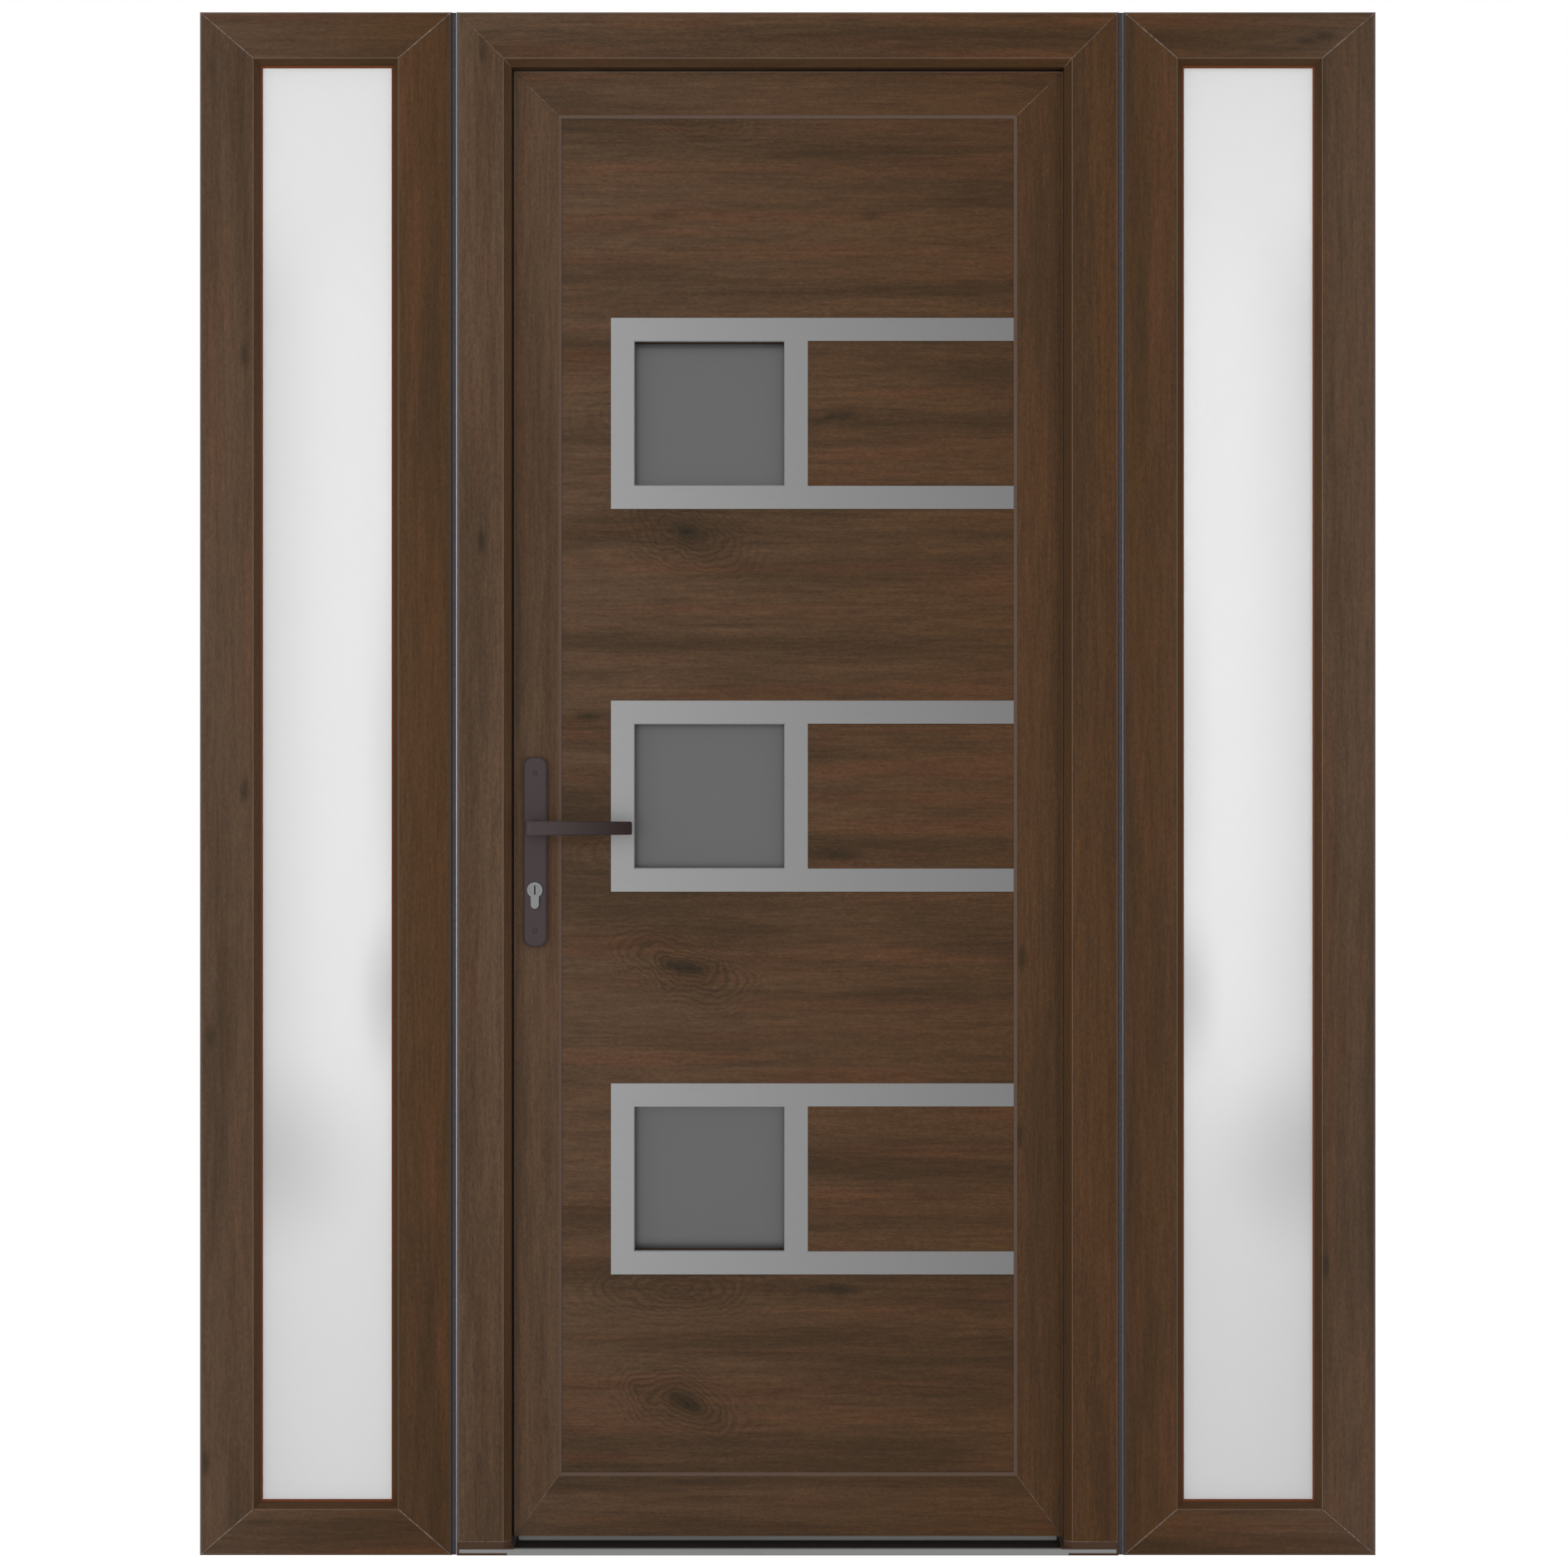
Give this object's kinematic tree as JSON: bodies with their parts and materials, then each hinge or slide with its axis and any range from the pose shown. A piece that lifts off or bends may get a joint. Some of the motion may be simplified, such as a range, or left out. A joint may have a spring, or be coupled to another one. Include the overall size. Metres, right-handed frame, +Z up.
{
  "type": "exterior entrance door with two fixed sidelights",
  "caption": "Brown wood-grain entrance door, inward opening, with small glazed panes, steel trims, lever handle and a tall fixed frosted sidelight on each side.",
  "frame": {"origin": "bottom centre of the whole unit, on the threshold's underside, at mid-depth of the frame", "axes": "+Z up, -Y to the outside, +Y to the inside, +X to the right as seen from outside (the hinge side)"},
  "size_m": [1.6, 0.19, 2.1],
  "materials": {
    "brown_foil": "wood-grain foil",
    "threshold_plastic": "moulded",
    "dark_plastic": "extruded",
    "frosted_glass": "satin",
    "grey_glass": "satin",
    "brushed_steel": "brushed",
    "aluminium": "satin",
    "rubber": "extruded",
    "brown_seal": "extruded",
    "dark_bronze": "satin powder coat",
    "nickel": "satin nickel"
  },
  "bodies": {
    "frame": {"left_jamb": "brown_foil", "right_jamb": "brown_foil", "head": "brown_foil", "left_sidelight_outer_stile": "brown_foil", "left_sidelight_inner_stile": "brown_foil", "left_sidelight_head": "brown_foil", "left_sidelight_sill": "brown_foil", "left_sidelight_glass": "frosted_glass", "right_sidelight_outer_stile": "brown_foil", "right_sidelight_inner_stile": "brown_foil", "right_sidelight_head": "brown_foil", "right_sidelight_sill": "brown_foil", "right_sidelight_glass": "frosted_glass", "sidelight_beads": "brown_foil", "threshold_core": "threshold_plastic", "threshold_end_blocks": "threshold_plastic", "coupling_strips": "dark_plastic", "threshold_nose": "aluminium", "frame_gasket": "rubber", "sidelight_gaskets": "brown_seal", "hinge_frame_parts": "dark_bronze", "strike_plates": "nickel"},
    "leaf": {"lock_stile": "brown_foil", "hinge_stile": "brown_foil", "top_rail": "brown_foil", "bottom_rail": "brown_foil", "panel": "brown_foil", "panel_seal": "brown_seal", "panel_beads": "brown_foil", "leaf_panes": "grey_glass", "top_trim": "brushed_steel", "middle_trim": "brushed_steel", "bottom_trim": "brushed_steel", "pane_inner_frames": "brown_foil", "bottom_seal_carrier": "aluminium", "bottom_seal": "rubber", "leaf_gasket": "rubber", "lock_faceplate": "nickel", "lock_cylinder": "nickel", "outer_backplate": "dark_bronze", "inner_backplate": "dark_bronze", "hinge_leaf_parts": "dark_bronze"},
    "handle": {"outer_lever": "dark_bronze", "inner_lever": "dark_bronze", "spindle": "nickel"}
  },
  "joints": [
    {"name": "door_swing", "type": "hinge", "parent": "frame", "child": "leaf", "pos_m": [0.418, 0.069, 0], "axis": [0, 0, -1], "range_deg": [0, 100]},
    {"name": "lever_turn", "type": "hinge", "parent": "leaf", "child": "handle", "pos_m": [-0.345, 0, 0.99], "axis": [0, 1, 0], "range_deg": [0, 40], "stiffness_Nm_per_rad": 1.5, "springref_deg": -20.05}
  ]
}
